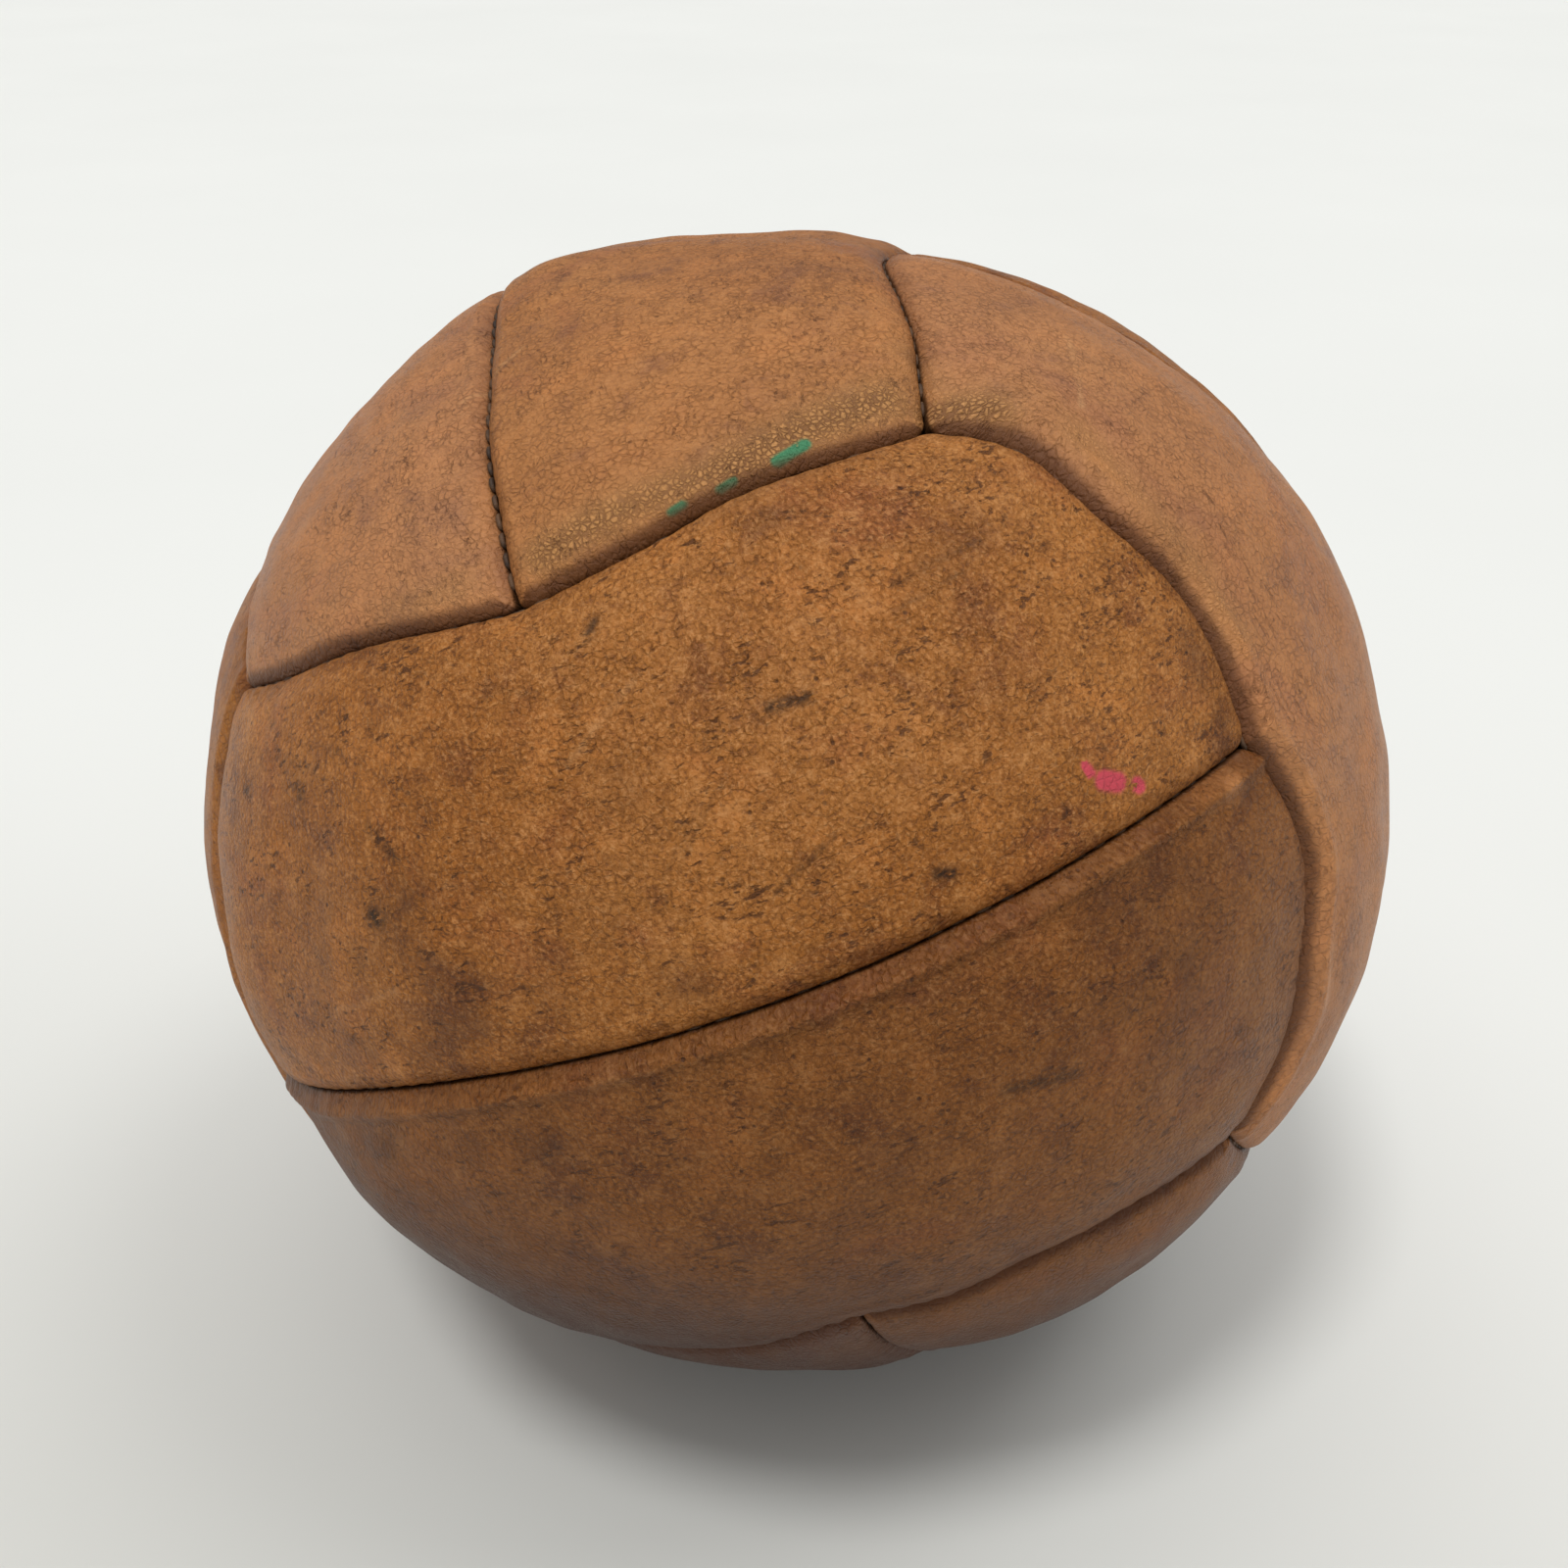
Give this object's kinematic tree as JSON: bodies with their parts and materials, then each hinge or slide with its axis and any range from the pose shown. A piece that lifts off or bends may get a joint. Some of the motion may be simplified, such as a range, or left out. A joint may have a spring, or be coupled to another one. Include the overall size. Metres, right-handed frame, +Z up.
{
  "type": "medicine ball",
  "caption": "Stuffed leather medicine ball with hand-sewn panels in pairs, for throwing and catching exercises",
  "frame": {"origin": "centre of the flat on which the ball rests, straight below the ball's centre", "axes": "+Z up; the front, as the ball lies, faces -Y, with +X to its right"},
  "size_m": [0.26, 0.26, 0.2586],
  "materials": {
    "panel_leather": "satin",
    "lining_canvas": "matte",
    "seam_thread": "matte",
    "hair_stuffing": "matte"
  },
  "bodies": {
    "root": {"panel_front_upper": "panel_leather", "panel_front_lower": "panel_leather", "panel_back_upper": "panel_leather", "panel_back_lower": "panel_leather", "panel_bottom_right": "panel_leather", "panel_bottom_left": "panel_leather", "panel_top_right": "panel_leather", "panel_top_left": "panel_leather", "panel_left_back": "panel_leather", "panel_left_front": "panel_leather", "panel_right_back": "panel_leather", "panel_right_front": "panel_leather", "lining_front_upper": "lining_canvas", "lining_front_lower": "lining_canvas", "lining_back_upper": "lining_canvas", "lining_back_lower": "lining_canvas", "lining_bottom_right": "lining_canvas", "lining_bottom_left": "lining_canvas", "lining_top_right": "lining_canvas", "lining_top_left": "lining_canvas", "lining_left_back": "lining_canvas", "lining_left_front": "lining_canvas", "lining_right_back": "lining_canvas", "lining_right_front": "lining_canvas", "thread_front_top": "seam_thread", "thread_front_bottom": "seam_thread", "thread_back_top": "seam_thread", "thread_back_bottom": "seam_thread", "thread_bottom_right": "seam_thread", "thread_bottom_left": "seam_thread", "thread_top_right": "seam_thread", "thread_top_left": "seam_thread", "thread_left_back": "seam_thread", "thread_left_front": "seam_thread", "thread_right_back": "seam_thread", "thread_right_front": "seam_thread", "thread_front_middle": "seam_thread", "thread_back_middle": "seam_thread", "thread_bottom_middle": "seam_thread", "thread_top_middle": "seam_thread", "thread_left_middle": "seam_thread", "thread_right_middle": "seam_thread", "stuffing": "hair_stuffing"}
  },
  "joints": []
}
